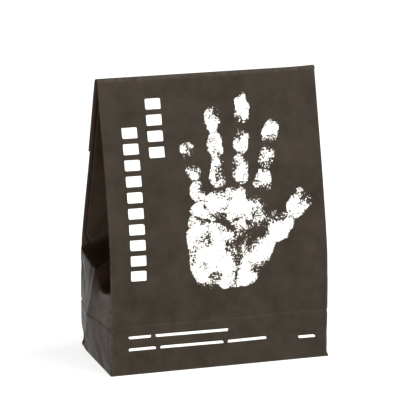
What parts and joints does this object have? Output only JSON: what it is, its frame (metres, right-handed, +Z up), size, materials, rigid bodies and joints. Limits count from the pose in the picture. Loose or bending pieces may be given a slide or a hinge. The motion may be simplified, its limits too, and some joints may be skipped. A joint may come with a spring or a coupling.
{
  "type": "loose chalk bag",
  "caption": "Dark block-bottom paper bag of loose gymnastics chalk, with side gussets and its top folded over the back and sealed.",
  "frame": {"origin": "centre of the base, on the surface that the bag stands on", "axes": "+Z up, +Y from the printed front to the back, +X to the right as the front is faced"},
  "size_m": [0.14, 0.0703, 0.1777],
  "materials": {
    "bag_paper": "satin coated kraft, near-black brown",
    "seal_paper": "matte white label paper",
    "clear_film": "clear film",
    "glue": "dried glue",
    "chalk": "dry powder"
  },
  "bodies": {
    "bag": {"front_panel": "bag_paper", "back_panel_left": "bag_paper", "back_panel_right": "bag_paper", "seam_glue": "glue", "left_gusset_front": "bag_paper", "left_gusset_back": "bag_paper", "right_gusset_front": "bag_paper", "right_gusset_back": "bag_paper", "base_flap_back": "bag_paper", "base_flap_front": "bag_paper", "base_glue": "glue", "base_flap_left": "bag_paper", "base_flap_right": "bag_paper", "film_bag": "clear_film", "chalk_powder": "chalk", "chalk_lumps": "chalk"},
    "flap_back": {"top_back_ply": "bag_paper", "top_left_gusset_back": "bag_paper", "top_right_gusset_back": "bag_paper"},
    "flap_front": {"top_front_ply": "bag_paper", "top_left_gusset_front": "bag_paper", "top_right_gusset_front": "bag_paper", "seal_label": "seal_paper"},
    "seal_tab": {"seal_tab": "seal_paper"}
  },
  "joints": [
    {"name": "top_unfold", "type": "hinge", "parent": "bag", "child": "flap_back", "pos_m": [0, -0.00517, 0.1777], "axis": [1, 0, 0], "range_deg": [0, 160]},
    {"name": "mouth_open", "type": "hinge", "parent": "flap_back", "child": "flap_front", "pos_m": [0, -0.00352, 0.17722], "axis": [1, 0, 0], "range_deg": [0, 50]},
    {"name": "seal_peel", "type": "hinge", "parent": "flap_front", "child": "seal_tab", "pos_m": [0, 0.01276, 0.131], "axis": [1, 0, 0], "range_deg": [0, 160]}
  ]
}
